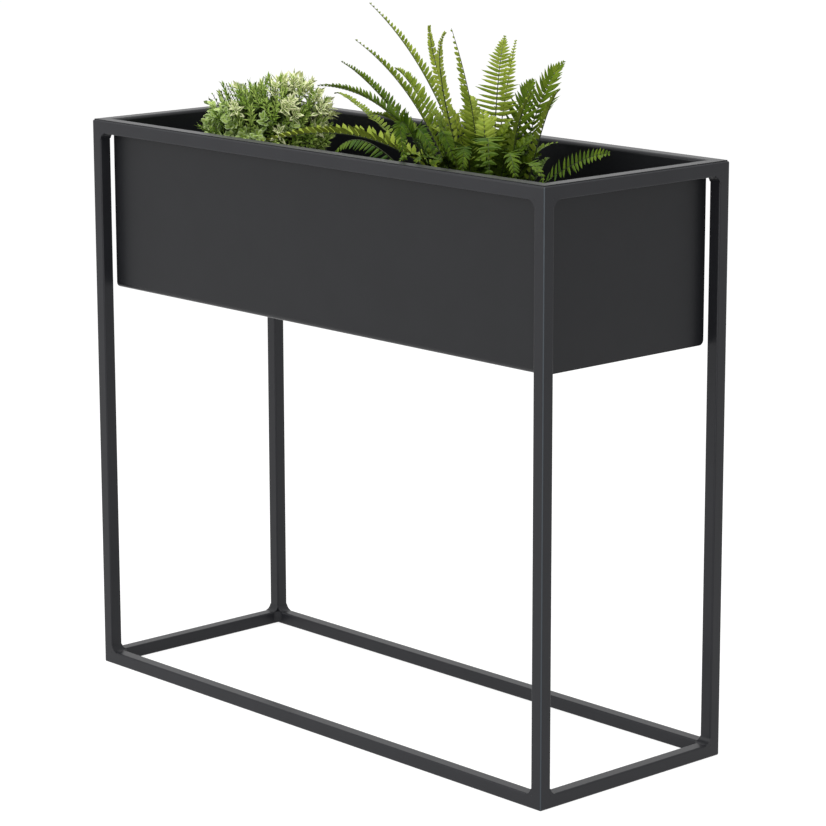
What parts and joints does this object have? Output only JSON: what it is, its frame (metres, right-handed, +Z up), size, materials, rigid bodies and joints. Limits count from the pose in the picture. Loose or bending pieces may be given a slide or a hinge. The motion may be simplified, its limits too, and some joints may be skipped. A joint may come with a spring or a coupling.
{
  "type": "raised planter on legs",
  "caption": "Rectangular trough hung by its folded rim in a tall open frame of slim square tube, with a potted bush and a potted fern standing in it.",
  "frame": {"origin": "on the floor, at the centre of the frame's footprint", "axes": "+X along the length, -Y to the front, +Z up"},
  "size_m": [1, 0.37, 1.0769],
  "materials": {
    "frame_powder_coat": "fine-texture satin powder coat",
    "trough_powder_coat": "fine-texture satin powder coat",
    "pot_plastic": "moulded matt",
    "soil": "loose peat and bark",
    "bush_leaf": "variegated leaf",
    "fern_crown": "fibrous",
    "fern_leaf": "leaf",
    "plug_rubber": "matt"
  },
  "bodies": {
    "frame": {"leg_front_left": "frame_powder_coat", "leg_front_right": "frame_powder_coat", "leg_back_left": "frame_powder_coat", "leg_back_right": "frame_powder_coat", "bottom_rail_front": "frame_powder_coat", "bottom_rail_back": "frame_powder_coat", "bottom_rail_left": "frame_powder_coat", "bottom_rail_right": "frame_powder_coat", "top_rail_front": "frame_powder_coat", "top_rail_back": "frame_powder_coat", "top_rail_left": "frame_powder_coat", "top_rail_right": "frame_powder_coat", "bottom_corner_welds": "frame_powder_coat", "top_corner_welds": "frame_powder_coat"},
    "trough": {"trough_body": "trough_powder_coat", "trough_end_left": "trough_powder_coat", "trough_end_right": "trough_powder_coat"},
    "potted_bush": {"bush_pot": "pot_plastic", "bush_soil": "soil", "bush_foliage": "bush_leaf"},
    "potted_fern": {"fern_pot": "pot_plastic", "fern_soil": "soil", "fern_crown": "fern_crown", "fern_fronds": "fern_leaf"},
    "plug_left": {"drain_plug_left": "plug_rubber"},
    "plug_middle": {"drain_plug_middle": "plug_rubber"},
    "plug_right": {"drain_plug_right": "plug_rubber"}
  },
  "joints": [
    {"name": "trough_lift", "type": "slide", "parent": "frame", "child": "trough", "axis": [0, 0, 1], "range_m": [0, 0.3]},
    {"name": "bush_lift", "type": "slide", "parent": "trough", "child": "potted_bush", "axis": [0, 0, 1], "range_m": [0, 0.3]},
    {"name": "fern_lift", "type": "slide", "parent": "trough", "child": "potted_fern", "axis": [0, 0, 1], "range_m": [0, 0.3]},
    {"name": "plug_left_pull", "type": "slide", "parent": "trough", "child": "plug_left", "axis": [0, 0, 1], "range_m": [0, 0.03]},
    {"name": "plug_middle_pull", "type": "slide", "parent": "trough", "child": "plug_middle", "axis": [0, 0, 1], "range_m": [0, 0.03]},
    {"name": "plug_right_pull", "type": "slide", "parent": "trough", "child": "plug_right", "axis": [0, 0, 1], "range_m": [0, 0.03]}
  ]
}
